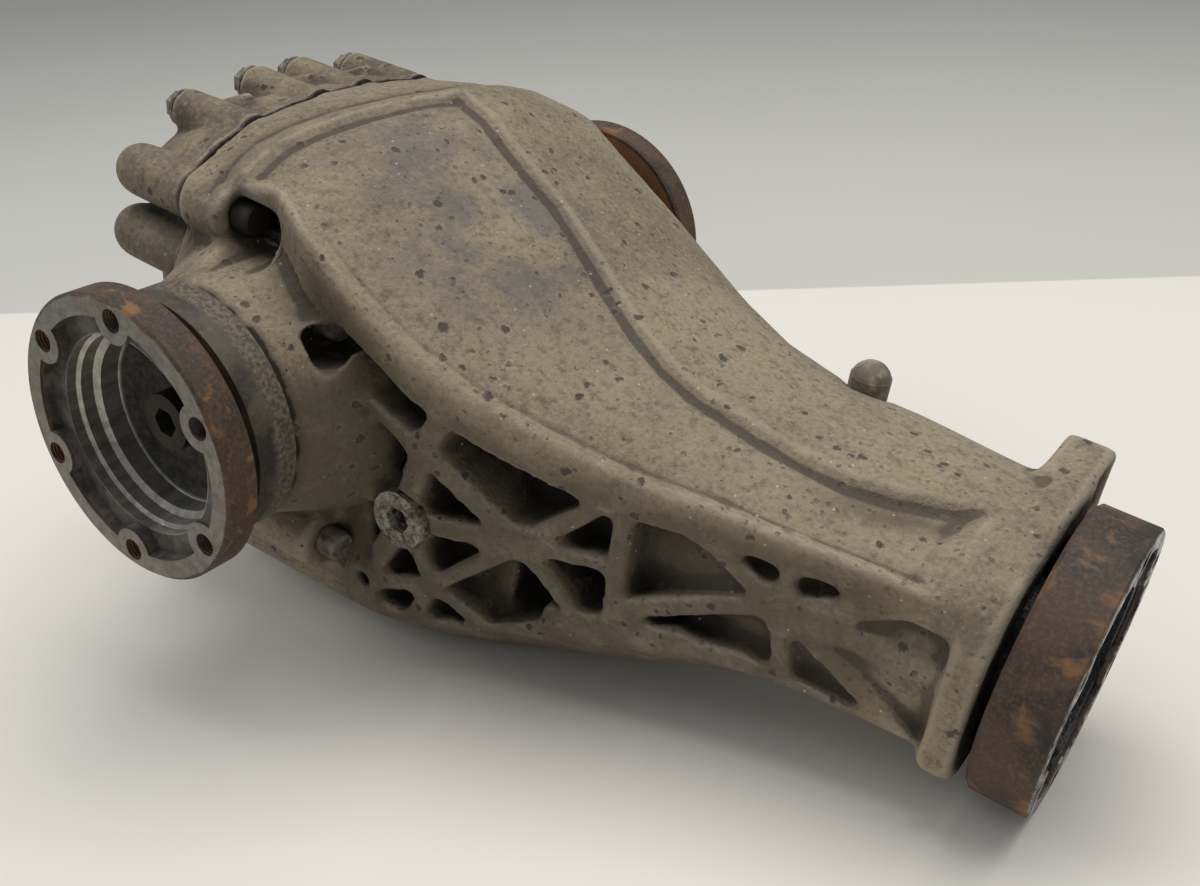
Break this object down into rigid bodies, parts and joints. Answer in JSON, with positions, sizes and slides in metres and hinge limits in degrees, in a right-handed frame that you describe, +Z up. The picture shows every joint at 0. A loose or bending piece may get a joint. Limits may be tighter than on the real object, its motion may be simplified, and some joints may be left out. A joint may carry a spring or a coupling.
{
  "type": "differential gear assembly",
  "caption": "Rear axle final drive: a ribbed cast housing with a flanged input shaft, hypoid gears, a bevel differential and two flanged outputs.",
  "frame": {"origin": "where the output axis crosses the vertical plane of the input shaft", "axes": "+X along the input shaft and out of its flange, +Y along the output axis to the left, +Z up"},
  "size_m": [0.408, 0.294, 0.217],
  "materials": {
    "bearing_steel": "polished",
    "breather": "dark cap",
    "cage_steel": "pressed",
    "cast_cover": "weathered sand-cast aluminium",
    "cast_housing": "weathered sand-cast aluminium",
    "cast_iron": "oily cast iron",
    "copper_washer": "dull copper",
    "corroded_plug": "white corrosion",
    "cover_bolt": "dark zinc flake",
    "gasket": "matte",
    "gear_steel": "ground steel",
    "input_flange": "dark rusted steel with grease",
    "machined_steel": "machined",
    "output_flange": "machined face, rusted rim",
    "pressed_steel": "dark pressed steel",
    "seal_rubber": "matte"
  },
  "bodies": {
    "housing": {"breather": "breather", "carrier_shims": "machined_steel", "cover_dowels": "machined_steel", "cover_gasket": "gasket", "drain_plug": "corroded_plug", "drain_plug_washer": "copper_washer", "fill_plug": "corroded_plug", "fill_plug_washer": "copper_washer", "front_cover_bolts": "cover_bolt", "left_bearing_cap": "cast_iron", "left_bearing_cap_bolts": "machined_steel", "left_carrier_bearing_outer_race": "bearing_steel", "left_output_seal": "seal_rubber", "main_housing": "cast_housing", "pinion_head_bearing_outer_race": "bearing_steel", "pinion_seal": "seal_rubber", "pinion_shim": "machined_steel", "pinion_tail_bearing_outer_race": "bearing_steel", "rear_cover": "cast_cover", "rear_cover_bolts": "cover_bolt", "right_bearing_cap": "cast_iron", "right_bearing_cap_bolts": "machined_steel", "right_carrier_bearing_outer_race": "bearing_steel", "right_output_seal": "seal_rubber"},
    "carrier": {"cross_pin": "machined_steel", "cross_pin_lock": "machined_steel", "differential_case": "cast_iron", "left_carrier_bearing_inner_race": "bearing_steel", "right_carrier_bearing_inner_race": "bearing_steel", "ring_gear": "gear_steel", "ring_gear_bolts": "machined_steel"},
    "left_output": {"left_dust_ring": "pressed_steel", "left_flange_bolt": "machined_steel", "left_output_flange": "output_flange", "left_side_gear": "gear_steel", "left_thrust_washer": "machined_steel"},
    "right_output": {"right_dust_ring": "pressed_steel", "right_flange_bolt": "machined_steel", "right_output_flange": "output_flange", "right_side_gear": "gear_steel", "right_thrust_washer": "machined_steel"},
    "upper_spider": {"upper_spider_gear": "gear_steel", "upper_spider_washer": "machined_steel"},
    "lower_spider": {"lower_spider_gear": "gear_steel", "lower_spider_washer": "machined_steel"},
    "pinion": {"crush_sleeve": "machined_steel", "input_dust_shield": "pressed_steel", "input_flange": "input_flange", "pinion_head_bearing_inner_race": "bearing_steel", "pinion_nut": "machined_steel", "pinion_shaft": "gear_steel", "pinion_tail_bearing_inner_race": "bearing_steel"},
    "left_carrier_rollers": {"left_carrier_bearing_cage": "cage_steel", "left_carrier_bearing_rollers": "bearing_steel"},
    "right_carrier_rollers": {"right_carrier_bearing_cage": "cage_steel", "right_carrier_bearing_rollers": "bearing_steel"},
    "pinion_head_rollers": {"pinion_head_bearing_cage": "cage_steel", "pinion_head_bearing_rollers": "bearing_steel"},
    "pinion_tail_rollers": {"pinion_tail_bearing_cage": "cage_steel", "pinion_tail_bearing_rollers": "bearing_steel"}
  },
  "joints": [
    {"name": "carrier_spin", "type": "hinge", "parent": "housing", "child": "carrier", "pos_m": [0, 0, 0], "axis": [0, 1, 0], "continuous": true},
    {"name": "differential_action", "type": "hinge", "parent": "carrier", "child": "left_output", "pos_m": [0, 0, 0], "axis": [0, 1, 0], "continuous": true},
    {"name": "right_output_spin", "type": "hinge", "parent": "carrier", "child": "right_output", "pos_m": [0, 0, 0], "axis": [0, 1, 0], "continuous": true},
    {"name": "upper_spider_spin", "type": "hinge", "parent": "carrier", "child": "upper_spider", "pos_m": [0, 0, 0.028], "axis": [0, 0, 1], "continuous": true},
    {"name": "lower_spider_spin", "type": "hinge", "parent": "carrier", "child": "lower_spider", "pos_m": [0, 0, -0.028], "axis": [0, 0, 1], "continuous": true},
    {"name": "pinion_spin", "type": "hinge", "parent": "housing", "child": "pinion", "pos_m": [0.1, 0, -0.017], "axis": [1, 0, 0], "continuous": true},
    {"name": "left_carrier_rollers_orbit", "type": "hinge", "parent": "housing", "child": "left_carrier_rollers", "pos_m": [0, 0.059, 0], "axis": [0, 1, 0], "continuous": true},
    {"name": "right_carrier_rollers_orbit", "type": "hinge", "parent": "housing", "child": "right_carrier_rollers", "pos_m": [0, -0.059, 0], "axis": [0, 1, 0], "continuous": true},
    {"name": "pinion_head_rollers_orbit", "type": "hinge", "parent": "housing", "child": "pinion_head_rollers", "pos_m": [0.101, 0, -0.017], "axis": [1, 0, 0], "continuous": true},
    {"name": "pinion_tail_rollers_orbit", "type": "hinge", "parent": "housing", "child": "pinion_tail_rollers", "pos_m": [0.235, 0, -0.017], "axis": [1, 0, 0], "continuous": true}
  ],
  "couplings": [
    {"joint": "right_output_spin", "follows": "differential_action", "ratio": -1},
    {"joint": "upper_spider_spin", "follows": "differential_action", "ratio": -1.6},
    {"joint": "lower_spider_spin", "follows": "differential_action", "ratio": 1.6},
    {"joint": "pinion_spin", "follows": "carrier_spin", "ratio": -3.9091},
    {"joint": "left_carrier_rollers_orbit", "follows": "carrier_spin", "ratio": 0.447},
    {"joint": "right_carrier_rollers_orbit", "follows": "carrier_spin", "ratio": 0.447},
    {"joint": "pinion_head_rollers_orbit", "follows": "carrier_spin", "ratio": -1.6848},
    {"joint": "pinion_tail_rollers_orbit", "follows": "carrier_spin", "ratio": -1.6575}
  ]
}
